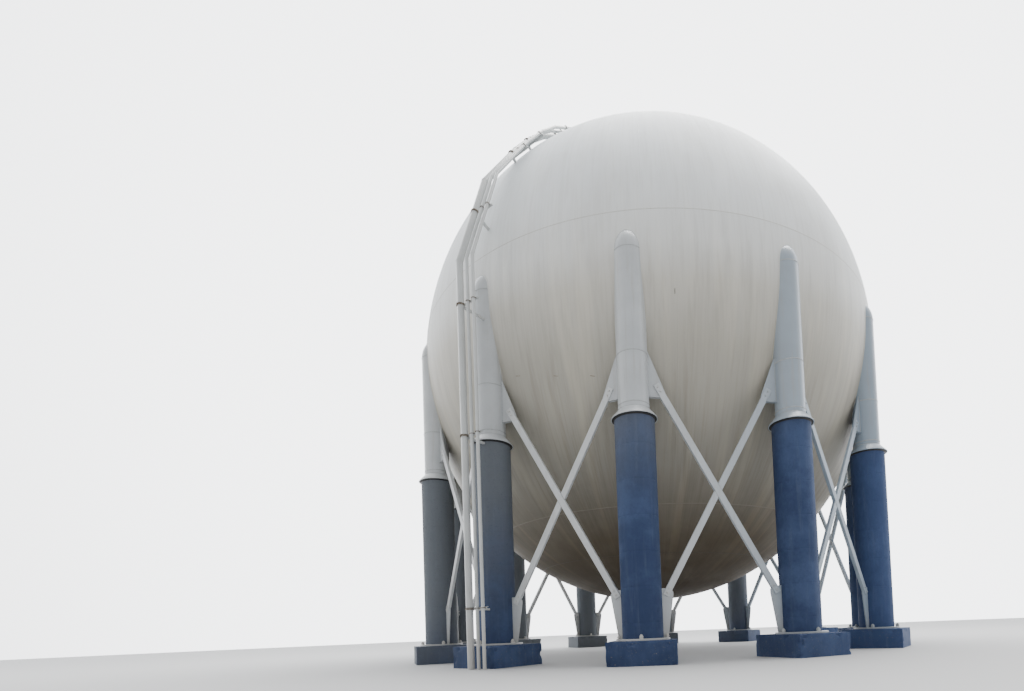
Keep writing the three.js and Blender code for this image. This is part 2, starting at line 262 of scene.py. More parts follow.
# The tint of white steel's side towards +X, a painted shade, and what the weather leaves on it.
SHADED_SIDE_TINT = (0.56, 0.66, 0.77)
STEEL_RUNS = (0.33, 0.30, 0.25)
STEEL_RUST = (0.22, 0.085, 0.03)
FOOT_DUST = (0.36, 0.31, 0.25)


def white_steel(name, tone, stained):
    """White paint on steel, darker and bluer towards +X as painted shade, with dust, runs, a little
    rust and dusty feet.
    """
    look = Look(name)
    x, y, z = look.split(look.place)
    runs = look.noise(14.0, 4.0, 0.6, look.join(x, y, look.math("MULTIPLY", z, 0.06)))
    cloud = look.noise(1.7, 5.0, 0.6)
    speck = look.noise(38.0, 6.0, 0.65)
    # Painted shade: the paint turns darker and bluer towards +X.
    painted_side_light = look.mix(look.band(x, -0.5, 4.5), tone, shaded(tone, SHADED_SIDE_TINT))
    dusty = look.layer(painted_side_light, shaded(tone, 0.45), cloud, 0.35, 0.7, 0.18)
    run = look.layer(dusty, STEEL_RUNS, runs, 0.52, 0.74, stained)
    rust = look.layer(run, STEEL_RUST, speck, 0.68, 0.76, 0.55 * stained)
    low = look.layer(rust, FOOT_DUST, z, 1.1, 0.46, 0.28)
    normal = look.bump(look.noise(70.0, 3.0, 0.5), 0.0012, 0.35, look.bump(cloud, 0.004, 0.3))
    return look.finish(low, look.scale(speck, 0.22, 0.20), normal, specular=0.6)


# Blue masonry paint: two tones in patches, a fresher one towards +X, a paler, greyer tone towards -X,
# the back and the top that is painted light and haze with some sun fading, and its chalky, dull and
# chipped places.
BLUE_DEEP = (0.024, 0.042, 0.100)
BLUE_FRESH = (0.045, 0.072, 0.150)
BLUE_STRONG = (0.052, 0.092, 0.210)
BLUE_FADED_AND_LIT = (0.130, 0.143, 0.154)
BLUE_CHALK = (0.17, 0.20, 0.25)
BLUE_DULL = (0.020, 0.031, 0.060)
BARE_CONCRETE = (0.20, 0.19, 0.17)
FADE_AND_LIGHT_WAY = (1.0, -0.8, -1.6)


def blue_render(name, worn):
    """Blue masonry paint on concrete: chalky, patchy, with pits, and bare where it is chipped."""
    look = Look(name)
    x, y, z = look.split(look.place)
    cloud = look.noise(1.3, 6.0, 0.62)
    grain = look.noise(26.0, 6.0, 0.7)
    runs = look.noise(11.0, 4.0, 0.6, look.join(x, y, look.math("MULTIPLY", z, 0.09)))
    pits = look.noise(90.0, 4.0, 0.6)
    base = look.mix(look.band(cloud, 0.36, 0.68), BLUE_DEEP, BLUE_FRESH)
    strong = look.layer(base, BLUE_STRONG, x, 2.8, 5.5, 0.40)
    wander = look.math("MULTIPLY", look.math("SUBTRACT", cloud, 0.5), 2.4)
    # Paler and greyer towards -X, the back and the top: painted light and haze, with some real sun
    # fading.
    painted_side_light = look.vector("DOT_PRODUCT", look.place, FADE_AND_LIGHT_WAY, "Value")
    faded_and_lit = look.layer(strong, BLUE_FADED_AND_LIT, look.math("ADD", painted_side_light, wander), 1.5, -6.0, 0.9)
    chalk = look.layer(faded_and_lit, BLUE_CHALK, runs, 0.50, 0.78, 0.11)
    dull = look.layer(chalk, BLUE_DULL, grain, 0.54, 0.75, 0.30)
    bare = look.layer(dull, BARE_CONCRETE, grain, 0.745 - worn * 0.18, 0.76, 0.75 * worn)
    normal = look.bump(pits, 0.003, 0.5, look.bump(grain, 0.008, 0.45, look.bump(cloud, 0.01, 0.3)))
    return look.finish(bare, look.scale(grain, 0.2, 0.62), normal, specular=0.25)


def plain_weld(name, tone):
    """Painted weld bead, rippled along its length; the same material, near black, is the painted shadow
    under each skirt.
    """
    look = Look(name)
    ripple = look.noise(60.0, 3.0, 0.6)
    colour = look.mix(look.band(ripple, 0.4, 0.7), tone, shaded(tone, 0.72))
    return look.finish(colour, 0.5, look.bump(ripple, 0.002, 0.6))


def shell_bead():
    """Weld beads of the shell: as dirty as the plates, a little darker above and lighter below, and
    like the plates darker towards the bottom with painted shade.
    """
    look = Look("shell_weld")
    lift = look.math("DIVIDE", look.math("SUBTRACT", look.split(look.place)[2], CENTRE_Z),
                     SHELL_RADIUS)
    # The ramp darkens the beads towards the bottom as painted shade, as on the plates.
    tone = look.ramp(look.scale(lift, 0.5, 0.5), BEAD_TONES)
    ripple = look.noise(60.0, 3.0, 0.6)
    colour = look.layer(tone, (0.24, 0.21, 0.17), ripple, 0.45, 0.7, 0.3)
    return look.finish(colour, 0.5, look.bump(ripple, 0.002, 0.5))


def rusty_steel():
    """Cleats of the shell and clips of the risers: old paint that rust has mostly taken over."""
    look = Look("rusty_steel")
    cloud = look.noise(16.0, 5.0, 0.65)
    grain = look.noise(120.0, 4.0, 0.6)
    base = look.mix(look.band(cloud, 0.42, 0.62), (0.11, 0.085, 0.066), (0.27, 0.24, 0.20))
    colour = look.layer(base, (0.10, 0.048, 0.022), grain, 0.5, 0.7, 0.5)
    return look.finish(colour, 0.75, look.bump(grain, 0.001, 0.5), specular=0.25)


def pale_floor():
    look = Look("floor_plain")
    soft = look.noise(0.2, 3.0, 0.5)
    colour = look.mix(look.math("MULTIPLY", soft, 0.2), (0.43, 0.43, 0.43), (0.39, 0.39, 0.39))
    return look.finish(colour, 0.85, specular=0.2)


SHELL = shell_paint()
STEEL = white_steel("frame_paint", (0.47, 0.49, 0.50), 0.28)
PIPE = white_steel("pipe_paint", (0.50, 0.515, 0.51), 0.26)
BRACE = white_steel("brace_paint", (0.56, 0.575, 0.58), 0.22)
BOLT = white_steel("bolt_paint", (0.60, 0.60, 0.58), 0.55)
# Near black: the painted shadow in the gap under each skirt.
SKIRT_GAP_SHADOW = plain_weld("skirt_gap_shadow", (0.018, 0.018, 0.019))
CASING = blue_render("casing_paint", 0.2)
PEDESTAL = blue_render("pedestal_paint", 1.0)
STEEL_WELD = plain_weld("frame_weld", (0.40, 0.412, 0.415))
RUSTY = rusty_steel()
SHELL_WELD = shell_bead()


def loops_to_mesh(bm, rings, closed_ends=False, wrap=True):
    """Quads between rings of points. A ring wraps round, and the ends may be capped."""
    made = [[bm.verts.new(p) for p in ring] for ring in rings]
    for low, high in zip(made, made[1:]):
        count = len(low)
        for i in range(count if wrap else count - 1):
            j = (i + 1) % count
            bm.faces.new((low[i], low[j], high[j], high[i]))
    if closed_ends:
        bm.faces.new(list(reversed(made[0])))
        bm.faces.new(made[-1])
    return made


def circle(radius, sides, height=0.0):
    """Points round an upright axis, from -Y."""
    return [(radius * math.sin(2 * math.pi * i / sides), -radius * math.cos(2 * math.pi * i / sides),
             height) for i in range(sides)]


def lathe(bm, profile, sides, at=(0, 0), capped=False):
    """Turns a profile of (radius, height) about an upright axis."""
    rings = [[(x + at[0], y + at[1], z) for x, y, z in circle(r, sides, h)] for r, h in profile]
    return loops_to_mesh(bm, rings, capped)


def box(bm, low, high, place):
    corners = [Vector((x, y, z)) for x in (low[0], high[0]) for y in (low[1], high[1])
               for z in (low[2], high[2])]
    v = [bm.verts.new(place @ c) for c in corners]
    for a, b, c, d in ((0, 1, 3, 2), (4, 6, 7, 5), (0, 4, 5, 1), (2, 3, 7, 6), (0, 2, 6, 4),
                       (1, 5, 7, 3)):
        bm.faces.new((v[a], v[b], v[c], v[d]))


def plate(bm, outline, thick, place):
    """A flat plate of that thickness. The outline is (x, z) in the plate's own upright plane."""
    front = [bm.verts.new(place @ Vector((x, -thick / 2, z))) for x, z in outline]
    back = [bm.verts.new(place @ Vector((x, thick / 2, z))) for x, z in outline]
    bm.faces.new(front)
    bm.faces.new(list(reversed(back)))
    for i in range(len(outline)):
        j = (i + 1) % len(outline)
        bm.faces.new((front[j], front[i], back[i], back[j]))


def tube(bm, points, radius, sides):
    """A round bar through points, mitred at each bend."""
    points = [Vector(p) for p in points]
    ways = [(b - a).normalized() for a, b in zip(points, points[1:])]
    side = ways[0].orthogonal().normalized()
    rings = []
    for i, point in enumerate(points):
        before, after = ways[max(i - 1, 0)], ways[min(i, len(ways) - 1)]
        along = (before + after).normalized()
        side = (side - before * side.dot(before)).normalized()
        over = before.cross(side)
        ring = []
        for k in range(sides):
            angle = 2 * math.pi * k / sides
            offset = (side * math.cos(angle) + over * math.sin(angle)) * radius
            ring.append(point + offset - before * (offset.dot(along) / before.dot(along)))
        rings.append(ring)
    loops_to_mesh(bm, rings, True)


# A bolt's washer and stud radius, and the tops of its washer, nut and stud, in radii of the nut.
WASHER_REACH, STUD_REACH = 1.25, 0.52
WASHER_HIGH, NUT_HIGH, STUD_HIGH = 0.18, 0.95, 1.45
WASHER_SINK = 0.004


def bolt(bm, at, out, size):
    """A washer, a hexagon nut and a stud end, standing out along a direction."""
    turn = Vector(out).normalized().to_track_quat("Z", "Y").to_matrix().to_4x4()
    place = Matrix.Translation(Vector(at)) @ turn
    for radius, low, high, sides in ((size * WASHER_REACH, -WASHER_SINK, size * WASHER_HIGH, 16),
                                     (size, size * WASHER_HIGH, size * NUT_HIGH, 6),
                                     (size * STUD_REACH, size * NUT_HIGH, size * STUD_HIGH, 10)):
        rings = [[place @ Vector(p) for p in circle(radius, sides, h)] for h in (low, high)]
        loops_to_mesh(bm, rings, True)


BEVEL_SEGMENTS = 2
BEVEL_ANGLE = math.radians(40)


def put(name, mesh, replaces=(), turn=0.0, bevel=0.0):
    """A mesh as a named object, turned about the upright axis, riding on the one body."""
    made = bpy.data.objects.new(name, mesh)
    bpy.context.scene.collection.objects.link(made)
    made.rotation_euler[2] = turn
    if bevel:
        edge = made.modifiers.new("edge", "BEVEL")
        edge.width = bevel
        edge.segments = BEVEL_SEGMENTS
        edge.limit_method = "ANGLE"
        edge.angle_limit = BEVEL_ANGLE
    bpy.context.view_layer.update()
    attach(made, "root")
    if replaces:
        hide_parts(*replaces)


def piece(name, bm, material, replaces=(), turn=0.0, smooth=35.0, bevel=0.0):
    """A new mesh as a named object. Edges sharper than smooth degrees stay crisp."""
    bmesh.ops.recalc_face_normals(bm, faces=bm.faces)
    mesh = bpy.data.meshes.new(name)
    bm.to_mesh(mesh)
    bm.free()
    for entry in material if isinstance(material, tuple) else (material,):
        mesh.materials.append(entry)
    mesh.shade_smooth()
    mesh.set_sharp_from_angle(angle=math.radians(smooth))
    put(name, mesh, replaces, turn, bevel)
    return mesh


SHELL_SIDES = 192
LATITUDE_STEP = 1.5
# Each course of the shell, between two latitudes in degrees.
COURSES = (
    ("crown_end", 52.5, 90.0),
    ("upper_shell_course", 6.5, 52.5),
    ("lower_shell_course", -45.0, 6.5),
    ("bottom_end", -90.0, -45.0),
)


def on_ball(radius, latitude, longitude):
    """A point at a latitude and at an angle round from -Y, both in radians."""
    return CENTRE + radius * Vector((math.cos(latitude) * math.sin(longitude),
                                     -math.cos(latitude) * math.cos(longitude),
                                     math.sin(latitude)))


def shell_course(name, low, high):
    """A band of the ball between two latitudes, or a dished end, closed with a fan at its pole."""
    bm = bmesh.new()
    steps = round((high - low) / LATITUDE_STEP)
    rings = []
    for i in range(steps + 1):
        latitude = math.radians(low + (high - low) * i / steps)
        if abs(abs(latitude) - math.pi / 2) < 1e-6:
            continue
        rings.append([on_ball(SHELL_RADIUS, latitude, 2 * math.pi * k / SHELL_SIDES)
                      for k in range(SHELL_SIDES)])
    made = loops_to_mesh(bm, rings)
    for pole, end, ring in ((-1, low, made[0]), (1, high, made[-1])):
        if end == 90 * pole:
            tip = bm.verts.new(CENTRE + Vector((0, 0, pole * SHELL_RADIUS)))
            for a, b in zip(ring, ring[1:] + ring[:1]):
                bm.faces.new((a, b, tip))
    piece(f"{name}_plating", bm, SHELL, (name,), smooth=60.0)


for course in COURSES:
    shell_course(*course)

# How far a bead's edges lie under the surface that it is on.
WELD_ROOT = 0.002
BEAD_HALF = 0.014
RING_BEAD_HIGH = 0.0028
PLATE_BEAD_HIGH = 0.0015
RING_SEAMS = (52.5, 6.5, -45.0, -58.5)
# Low and high latitude in degrees, how many seams, and the first one's longitude in radians.
PLATE_SEAMS = ((52.5, 78.0, 8, 0.3), (6.5, 52.5, 16, 0.05), (-45.0, 6.5, 16, 0.147),
               (-58.5, -45.0, 12, 0.02), (-90.0, -58.5, 4, 0.4))
PLATE_SEAM_STEP = 2.5
LOWEST_SEAM_END = -88.5


def bead_profile(high):
    """Across a bead: the place, in half widths from its middle, and the height over the plate."""
    return (-1, -WELD_ROOT), (-0.5, 0.75 * high), (0, high), (0.5, 0.75 * high), (1, -WELD_ROOT)


def bead_ring(bm, latitude):
    """A low weld bead round the ball at one latitude."""
    latitude = math.radians(latitude)
    spread = BEAD_HALF / SHELL_RADIUS
    loops_to_mesh(bm, [[on_ball(SHELL_RADIUS + lift, latitude + offset * spread,
                                2 * math.pi * k / SHELL_SIDES) for k in range(SHELL_SIDES)]
                       for offset, lift in bead_profile(RING_BEAD_HIGH)])


def bead_line(bm, low, high, longitude):
    """A low weld bead down one meridian."""
    steps = max(int((high - low) / PLATE_SEAM_STEP), 3)
    rings = []
    for i in range(steps + 1):
        latitude = math.radians(max(low + (high - low) * i / steps, LOWEST_SEAM_END))
        spread = BEAD_HALF / (SHELL_RADIUS * math.cos(latitude))
        rings.append([on_ball(SHELL_RADIUS + lift, latitude, longitude + offset * spread)
                      for offset, lift in bead_profile(PLATE_BEAD_HIGH)])
    loops_to_mesh(bm, rings, wrap=False)


seams = bmesh.new()
for latitude in RING_SEAMS:
    bead_ring(seams, latitude)
piece("shell_ring_welds", seams, SHELL_WELD, smooth=60.0)
seams = bmesh.new()
for low, high, count, start in PLATE_SEAMS:
    for k in range(count):
        bead_line(seams, low, high, start + 2 * math.pi * k / count)
piece("shell_plate_welds", seams, SHELL, smooth=60.0)


# Cleats left on the shell, by latitude and longitude in degrees: a row of three, which is
# repeated round the ball with small shifts, and an upright one.
CLEATS = ((-17.57, -23.45), (-19.3, -15.12), (-20.41, -7.81))
CLEAT_TURNS = (0, 90, 180, 270)
CLEAT_SHIFT = 0.4
UPRIGHT_CLEAT = (-8.0, 7.95)
CLEAT_LEAN = math.radians(-13)
CLEAT_HALF_LENGTH = 0.05
CLEAT_HALF_WIDTH = 0.004
CLEAT_HIGH = 0.008
CLEAT_SINK = 0.004


def cleat(bm, latitude, longitude, upright=False):
    """A short rib on the shell, along the meridian if it is upright and else nearly across it."""
    latitude, longitude = math.radians(latitude), math.radians(longitude)
    out = (on_ball(1, latitude, longitude) - CENTRE).normalized()
    across = Vector((math.cos(longitude), math.sin(longitude), 0))
    place = Matrix((across, out.cross(across), out)).transposed().to_4x4()
    place = place @ Matrix.Rotation(0 if upright else CLEAT_LEAN, 4, "Z")
    place.translation = on_ball(SHELL_RADIUS, latitude, longitude)
    x, y = (CLEAT_HALF_WIDTH, CLEAT_HALF_LENGTH) if upright else (CLEAT_HALF_LENGTH, CLEAT_HALF_WIDTH)
    box(bm, (-x, -y, -CLEAT_SINK), (x, y, CLEAT_HIGH), place)


cleats = bmesh.new()
for turn in CLEAT_TURNS:
    for latitude, longitude in CLEATS:
        shift = random.uniform(-CLEAT_SHIFT, CLEAT_SHIFT)
        cleat(cleats, latitude + (shift if turn else 0), longitude + turn)
cleat(cleats, *UPRIGHT_CLEAT, upright=True)
piece("shell_cleats", cleats, RUSTY, smooth=30.0)


# Columns: the round cap, the rain skirt over the casing, where the pipe's wall is divided, and the
# gussets as (out, height) outlines.
CAP_RIM = CENTRE_Z - 0.07
CAP_RISE = 0.48
CAP_STEPS = 14
SKIRT_RADIUS = 0.458
SKIRT_LIP = CASING_TOP - 0.022
SKIRT_TOP = SKIRT_LIP + 0.18
SKIRT_THICK = 0.018
COLUMN_SIDES = 64
PIPE_RINGS = (PLATE_TOP - 0.01, 2.5, SKIRT_TOP, 6.4)
GUSSET_THICK = 0.028
GUSSET_ROOT = 0.15
UPPER_GUSSET_TOP = 6.09
SHELF_LEVEL = 5.19
SHELF_REACH = 0.52
SHELF_HALF_WIDTH = 0.045
SHELF_HALF_THICK = 0.009
UPPER_GUSSET = ((GUSSET_ROOT, SHELF_LEVEL), (0.575, SHELF_LEVEL), (0.635, 5.293),
                (0.317, UPPER_GUSSET_TOP), (GUSSET_ROOT, UPPER_GUSSET_TOP))
LOWER_GUSSET = ((GUSSET_ROOT, PLATE_TOP), (0.5, PLATE_TOP), (0.63, PLATE_TOP + 0.81),
                (0.63, PLATE_TOP + 0.88), (0.56, PLATE_TOP + 0.95), (GUSSET_ROOT, PLATE_TOP + 0.95))
COLUMN_EDGE = 0.0035
AT_COLUMN = (0, -COLUMN_CIRCLE)

# Crossed braces: where each bar's axis starts and ends, out from a column's axis.
BRACE_TOP = (0.458, CENTRE_Z - 2.628)
BRACE_FOOT = (0.475, PLATE_TOP + 0.805)
BAY_HALF = COLUMN_CIRCLE * math.sin(HALF_STEP)
BAY_OUT = COLUMN_CIRCLE * math.cos(HALF_STEP)
BRACE_RUN = Vector((2 * BAY_HALF - BRACE_TOP[0] - BRACE_FOOT[0], BRACE_FOOT[1] - BRACE_TOP[1]))
BRACE_WAY = BRACE_RUN.normalized()
BRACE_EDGE = 0.007
CROSS_WELD = 0.007


def gusset_frame(side):
    """The upright plane of a brace at column 01: x outwards from the column's axis."""
    angle = HALF_STEP if side > 0 else math.pi - HALF_STEP
    return Matrix.Translation((0, -COLUMN_CIRCLE, 0)) @ Matrix.Rotation(angle, 4, "Z")


def column_mesh():
    """The pipe with its cap, the rain skirt, the base plate, and the gussets with their shelves."""
    bm = bmesh.new()
    quarter = [math.pi / 2 * i / CAP_STEPS for i in range(CAP_STEPS)]
    cap = [(PIPE_RADIUS * math.cos(a), CAP_RIM + CAP_RISE * math.sin(a)) for a in quarter]
    lathe(bm, [(PIPE_RADIUS, height) for height in PIPE_RINGS] + cap, COLUMN_SIDES, AT_COLUMN)
    lathe(bm, [(PIPE_RADIUS - 0.01, SKIRT_TOP), (PIPE_RADIUS + 0.004, SKIRT_TOP),
               (SKIRT_RADIUS - 0.003, SKIRT_LIP + 0.014), (SKIRT_RADIUS, SKIRT_LIP + 0.008),
               (SKIRT_RADIUS, SKIRT_LIP), (SKIRT_RADIUS - SKIRT_THICK, SKIRT_LIP),
               (PIPE_RADIUS + 0.004, SKIRT_TOP - SKIRT_THICK),
               (PIPE_RADIUS - 0.01, SKIRT_TOP - SKIRT_THICK)], COLUMN_SIDES, AT_COLUMN)
    lathe(bm, [(PLATE_RADIUS - 0.002, PEDESTAL_TOP + PIECE_GAP), (PLATE_RADIUS, PEDESTAL_TOP + 0.003),
               (PLATE_RADIUS, PLATE_TOP - 0.004), (PLATE_RADIUS - 0.004, PLATE_TOP)],
          COLUMN_SIDES, AT_COLUMN, True)
    for side in (1, -1):
        plane = gusset_frame(side)
        plate(bm, UPPER_GUSSET, GUSSET_THICK, plane)
        plate(bm, LOWER_GUSSET, GUSSET_THICK, plane)
        box(bm, (GUSSET_ROOT, -SHELF_HALF_WIDTH, SHELF_LEVEL - SHELF_HALF_THICK),
            (SHELF_REACH, SHELF_HALF_WIDTH, SHELF_LEVEL + SHELF_HALF_THICK), plane)
    return bm


def weld_ring(bm, radius, height, size):
    """A weld bead round column 01, size being half its width."""
    lathe(bm, [(radius - WELD_ROOT, height - size), (radius + size * 0.5, height - size * 0.5),
               (radius + size * 0.65, height), (radius + size * 0.5, height + size * 0.5),
               (radius - WELD_ROOT, height + size)], COLUMN_SIDES, AT_COLUMN)


# How high the cap's contact with the ball rises over the cap's rim.
CONTACT_RISE = 0.3966
CONTACT_STEPS = 24
GIRTH_WELDS = (SKIRT_TOP + 0.085, 5.97, CAP_RIM)
GIRTH_WELD = 0.012
SKIRT_WELD = 0.009
CONTACT_WELD = 0.013
# Along the gusset's root, the shelf and the base plate: the bead's radius and where it runs.
ROOT_WELD, ROOT_RUN = 0.009, (5.2, 6.08)
SHELF_WELD, SHELF_RUN = 0.006, (0.31, SHELF_REACH - 0.004)
FOOT_WELD, FOOT_RUN = 0.008, (0.403, 0.495)
WELD_SIDES = 8


def contact_angle(radius, level):
    """Where a circle round a column, at a level over the ball's centre, meets the ball.
    The angle runs round the column from its outer side."""
    across = (SHELL_RADIUS ** 2 - COLUMN_CIRCLE ** 2 - radius ** 2 - level ** 2) / \
        (2 * COLUMN_CIRCLE * radius)
    return math.acos(max(-1.0, min(1.0, across)))


def shell_contact():
    """One side of the line where a column's pipe and its round cap meet the ball."""
    points = []
    for i in range(CONTACT_STEPS + 1):
        up = CONTACT_RISE * math.sin(math.pi / 2 * (1 - i / CONTACT_STEPS))
        radius = PIPE_RADIUS * math.sqrt(1 - (up / CAP_RISE) ** 2)
        angle = contact_angle(radius, CAP_RIM + up - CENTRE_Z)
        points.append((radius * math.sin(angle), -COLUMN_CIRCLE - radius * math.cos(angle),
                       CAP_RIM + up))
    first = contact_angle(PIPE_RADIUS, CAP_RIM - CENTRE_Z)
    for i in range(1, CONTACT_STEPS + 1):
        angle = first + (math.pi - first) * i / CONTACT_STEPS
        x, y = PIPE_RADIUS * math.sin(angle), -COLUMN_CIRCLE - PIPE_RADIUS * math.cos(angle)
        drop = math.sqrt(max(SHELL_RADIUS ** 2 - x * x - y * y, 0.0))
        points.append((x, y, CENTRE_Z - drop))
    return points


def column_trim_mesh():
    """Girth, skirt and gusset welds of one column, and the one at the ball in the ball's paint."""
    bm = bmesh.new()
    for height in GIRTH_WELDS:
        weld_ring(bm, PIPE_RADIUS, height, GIRTH_WELD)
    weld_ring(bm, PIPE_RADIUS + 0.003, SKIRT_TOP, SKIRT_WELD)
    for side in (1, -1):
        plane = gusset_frame(side)
        for face in (1, -1):
            y = face * GUSSET_THICK / 2
            near = math.sqrt(PIPE_RADIUS ** 2 - y * y)
            shelf_top = SHELF_LEVEL + SHELF_HALF_THICK
            tube(bm, [plane @ Vector((near, y, z)) for z in ROOT_RUN], ROOT_WELD, WELD_SIDES)
            tube(bm, [plane @ Vector((x, y, shelf_top)) for x in SHELF_RUN], SHELF_WELD, WELD_SIDES)
            tube(bm, [plane @ Vector((x, y, PLATE_TOP)) for x in FOOT_RUN], FOOT_WELD, WELD_SIDES)
    on_steel = set(bm.faces)
    contact = shell_contact()
    for mirror in (1, -1):
        tube(bm, [(mirror * x, y, z) for x, y, z in contact], CONTACT_WELD, WELD_SIDES)
    for face in bm.faces:
        face.material_index = 0 if face in on_steel else 1
    return bm


ANCHOR_CIRCLE = 0.462
ANCHOR_NUT = 0.036
LOCK_NUT = 0.034
LOCK_NUT_STEP = Vector((0, 0, 0.033))
BRACE_NUT = 0.019
# How far along a brace from its end each bolt sits.
BOLT_STEPS = (0.065, 0.165)


def column_bolts_mesh():
    """Anchor bolts, and the bolts that hold the braces to the gussets."""
    bm = bmesh.new()
    for x, y in ((0, -1), (0, 1), (1, 0), (-1, 0)):
        at = Vector((x * ANCHOR_CIRCLE, y * ANCHOR_CIRCLE - COLUMN_CIRCLE, PLATE_TOP))
        bolt(bm, at, (0, 0, 1), ANCHOR_NUT)
        bolt(bm, at + LOCK_NUT_STEP, (0, 0, 1), LOCK_NUT)
    for side in (1, -1):
        plane = gusset_frame(side)
        for (out, height), way, thick in ((BRACE_TOP, 1, side > 0), (BRACE_FOOT, -1, side < 0)):
            half = BRACE_DEPTHS[0 if thick else 1] / 2
            for step in BOLT_STEPS:
                for face in (1, -1):
                    at = plane @ Vector((out + BRACE_WAY.x * step, face * half,
                                         height + way * BRACE_WAY.y * step))
                    bolt(bm, at, plane.to_3x3() @ Vector((0, face, 0)), BRACE_NUT)
    return bm


steel = piece("column_01_steel", column_mesh(), STEEL, ("column_01",),
              bevel=COLUMN_EDGE)
welds = piece("column_01_welds", column_trim_mesh(), (STEEL_WELD, SHELL), smooth=60.0)
bolts = piece("column_01_bolts", column_bolts_mesh(), BOLT, smooth=25.0)
for _, label, turn in COLUMNS[1:]:
    put(f"column_{label}_steel", steel, (f"column_{label}",), turn, COLUMN_EDGE)
    put(f"column_{label}_welds", welds, turn=turn)
    put(f"column_{label}_bolts", bolts, turn=turn)


# Casings: where their lifts meet over the pedestal, and the groove there by offset and depth.
LIFTS = (0.33, 1.0, 1.67, 2.35, 3.03, 3.7)
GROOVE = ((-0.008, 0.0), (-0.003, 0.003), (0.003, 0.003), (0.008, 0.0))
CASING_SIDES = 72
CASING_CLEAR = 0.001


def casing_mesh():
    """A cast casing with shallow grooves where its lifts meet, and a near-black seal band under the
    skirt, a painted shadow in the gap.
    """
    bm = bmesh.new()
    bore, foot, top = PIPE_RADIUS + CASING_CLEAR, PLATE_TOP + CASING_CLEAR, CASING_TOP - CASING_CLEAR
    profile = [(bore, foot), (CASING_RADIUS - 0.004, foot), (CASING_RADIUS, PLATE_TOP + 0.006)]
    for lift in LIFTS:
        profile += [(CASING_RADIUS - depth, PEDESTAL_TOP + lift + offset)
                    for offset, depth in GROOVE]
    profile += [(CASING_RADIUS, CASING_TOP - 0.012), (CASING_RADIUS - 0.01, top), (bore, top)]
    lathe(bm, profile, CASING_SIDES, AT_COLUMN)
    cast = set(bm.faces)
    # A near-black fillet under the skirt's lip: a painted shadow in the gap between skirt and casing.
    lathe(bm, [(CASING_RADIUS - 0.001, SKIRT_LIP - 0.026), (CASING_RADIUS + 0.012, SKIRT_LIP - 0.010),
               (SKIRT_RADIUS - SKIRT_THICK, SKIRT_LIP + 0.003)], CASING_SIDES, AT_COLUMN)
    for face in bm.faces:
        face.material_index = 0 if face in cast else 1
    return bm


# Pedestals: how sides and top are divided, how near an edge they are rubbed or chipped, and how deep.
SIDE_PARTS = 26
LEVELS = sorted([PEDESTAL_TOP * i / 9 for i in range(10)] + [PEDESTAL_TOP - 0.02, PEDESTAL_TOP - 0.045])
TOP_RINGS = (0.97, 0.9)
RUB_REACH = 0.06
PULL_REACH = 0.07
NEAR_EDGE, NEAR_CORNER = 1.05, 1.4
RUB_BIAS, RUB_DEPTH = 0.05, 0.022
CHIP_ABOVE, CHIP_DEPTH = 0.42, 0.014
CORNER_DEPTH = 0.004
DEEPEST = 0.03
# The wear's noise: its scale and its shift from block to block, then H, lacunarity and octaves.
WEAR_SCALE, WEAR_SHIFT = 7, 3.1
WEAR_NOISE = (0.8, 2.1, 4)


def pedestal_mesh(seed):
    """A cast block whose edges are chipped and rubbed, never proud of its true faces."""
    bm = bmesh.new()
    half, top = PEDESTAL_SIDE / 2, PEDESTAL_TOP
    steps = [-half + 2 * half * i / SIDE_PARTS for i in range(SIDE_PARTS + 1)]
    corners = [(x, -half) for x in steps[:-1]] + [(half, y) for y in steps[:-1]]
    corners += [(x, half) for x in reversed(steps[1:])]
    corners += [(-half, y) for y in reversed(steps[1:])]

    def worn(x, y, z):
        """Pulls a point in where the noise says that an edge has gone."""
        near = sum(max(0.0, 1 - away / RUB_REACH) for away in (half - abs(x), half - abs(y), top - z))
        spot = Vector((x * WEAR_SCALE + seed * WEAR_SHIFT, y * WEAR_SCALE, z * WEAR_SCALE + seed))
        rough = noise.fractal(spot, *WEAR_NOISE)
        gone = max(0.0, rough + RUB_BIAS) * RUB_DEPTH if near > NEAR_EDGE else 0.0
        if near > NEAR_EDGE and rough > CHIP_ABOVE:
            gone += CHIP_DEPTH
        gone += CORNER_DEPTH if near > NEAR_CORNER else 0.0
        pull = min(gone, DEEPEST)
        return (x - math.copysign(pull, x) if abs(x) > half - PULL_REACH else x,
                (y - math.copysign(pull, y) if abs(y) > half - PULL_REACH else y) - COLUMN_CIRCLE,
                z - pull if z > top - PULL_REACH else z)

    made = loops_to_mesh(bm, [[worn(x, y, z) for x, y in corners] for z in LEVELS])
    bm.faces.new(list(reversed(made[0])))
    outer = made[-1]
    for scale in TOP_RINGS:
        inner = [bm.verts.new(worn(x * scale, y * scale, top)) for x, y in corners]
        for i in range(len(inner)):
            j = (i + 1) % len(inner)
            bm.faces.new((outer[i], outer[j], inner[j], inner[i]))
        outer = inner
    bm.faces.new(outer)
    return bm


casing = piece("casing_01_concrete", casing_mesh(), (CASING, SKIRT_GAP_SHADOW),
               ("fireproof_casing_01",), smooth=30.0)
for _, label, turn in COLUMNS[1:]:
    put(f"casing_{label}_concrete", casing, (f"fireproof_casing_{label}",), turn)
for index, label, turn in COLUMNS:
    piece(f"pedestal_{label}_block", pedestal_mesh(index), PEDESTAL,
          (f"pedestal_{label}",), turn, smooth=28.0)


